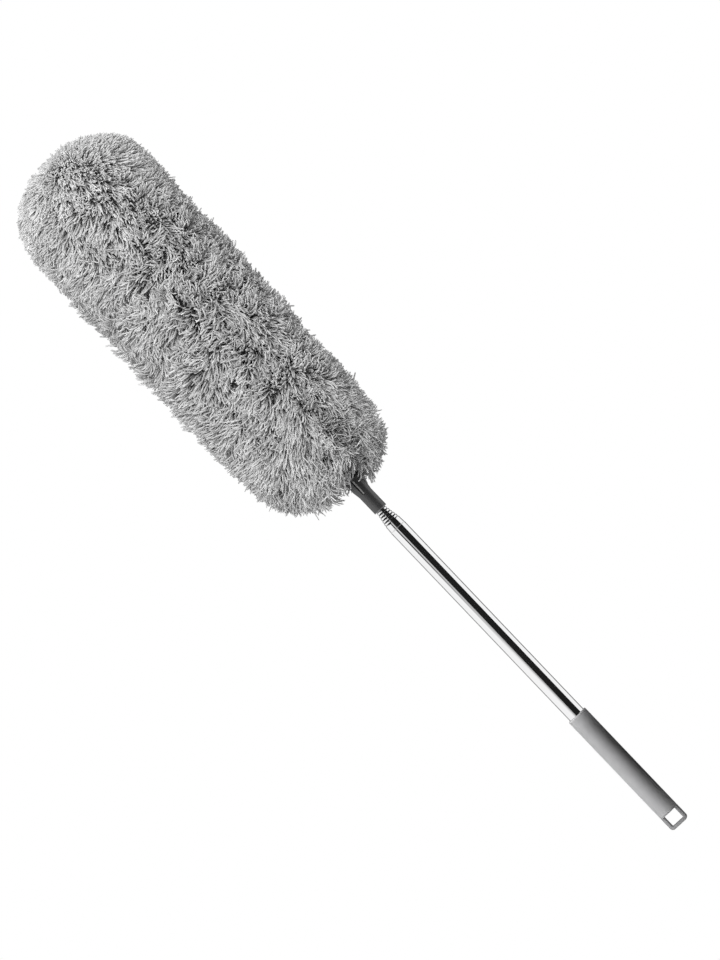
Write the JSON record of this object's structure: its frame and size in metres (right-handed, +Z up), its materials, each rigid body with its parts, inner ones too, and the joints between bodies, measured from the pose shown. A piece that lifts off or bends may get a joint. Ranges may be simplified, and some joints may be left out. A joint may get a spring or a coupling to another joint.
{
  "type": "extendable microfiber duster",
  "caption": "Duster with a long round microfibre head on a telescoping polished tube, with a moulded grip and a hanging loop; the head unscrews and bends.",
  "frame": {"origin": "centre of the loop's inner face, where a hook bears, with the duster hanging by its loop", "axes": "+Z up along the pole towards the loop, so the head hangs down -Z; +Y through the loop's window, and the axis that the head bends about; +X across the loop"},
  "size_m": [0.1313, 0.1316, 0.761],
  "materials": {
    "grip_plastic": "matte",
    "cap_plastic": "satin",
    "polished_tube": "polished",
    "spring_steel": "satin",
    "stud_steel": "satin",
    "connector_plastic": "satin",
    "strip_steel": "satin",
    "elastic": "matte",
    "microfibre": "matte"
  },
  "bodies": {
    "handle": {"handle_grip": "grip_plastic", "end_cap_loop": "cap_plastic", "outer_tube": "polished_tube"},
    "stage_1": {"inner_tube_1": "polished_tube", "friction_spring_1": "spring_steel"},
    "stage_2": {"inner_tube_2": "polished_tube", "friction_spring_2": "spring_steel"},
    "stage_3": {"inner_tube_3": "polished_tube", "friction_spring_3": "spring_steel"},
    "stage_4": {"inner_tube_4": "polished_tube", "friction_spring_4": "spring_steel"},
    "stage_5": {"inner_tube_5": "polished_tube", "friction_spring_5": "spring_steel"},
    "stage_6": {"inner_tube_6": "polished_tube", "friction_spring_6": "spring_steel", "tip_stud": "stud_steel"},
    "head": {"head_connector": "connector_plastic", "fork_rivet": "strip_steel", "elastic_hem": "elastic", "strip_base": "strip_steel", "pile_base": "microfibre"},
    "head_middle": {"strip_middle": "strip_steel", "pile_middle": "microfibre"},
    "head_tip": {"strip_tip": "strip_steel", "strip_cap": "connector_plastic", "pile_tip": "microfibre"}
  },
  "joints": [
    {"name": "stage_1_slide", "type": "slide", "parent": "handle", "child": "stage_1", "axis": [0, 0, -1], "range_m": [0, 0.2963]},
    {"name": "stage_2_slide", "type": "slide", "parent": "stage_1", "child": "stage_2", "axis": [0, 0, -1], "range_m": [0, 0.2963]},
    {"name": "stage_3_slide", "type": "slide", "parent": "stage_2", "child": "stage_3", "axis": [0, 0, -1], "range_m": [0, 0.2963]},
    {"name": "stage_4_slide", "type": "slide", "parent": "stage_3", "child": "stage_4", "axis": [0, 0, -1], "range_m": [0, 0.2963]},
    {"name": "stage_5_slide", "type": "slide", "parent": "stage_4", "child": "stage_5", "axis": [0, 0, -1], "range_m": [0, 0.2963]},
    {"name": "stage_6_slide", "type": "slide", "parent": "stage_5", "child": "stage_6", "axis": [0, 0, -1], "range_m": [0, 0.2963]},
    {"name": "head_unscrew", "type": "slide", "parent": "stage_6", "child": "head", "axis": [0, 0, -1], "range_m": [0, 0.016]},
    {"name": "head_bend_base", "type": "hinge", "parent": "head", "child": "head_middle", "pos_m": [0, 0, -0.47665], "axis": [0, 1, 0], "range_deg": [-45, 45], "deforming": ["pile_base", "pile_middle"]},
    {"name": "head_bend_tip", "type": "hinge", "parent": "head_middle", "child": "head_tip", "pos_m": [0, 0, -0.59665], "axis": [0, 1, 0], "range_deg": [-45, 45], "deforming": ["pile_tip"]}
  ]
}
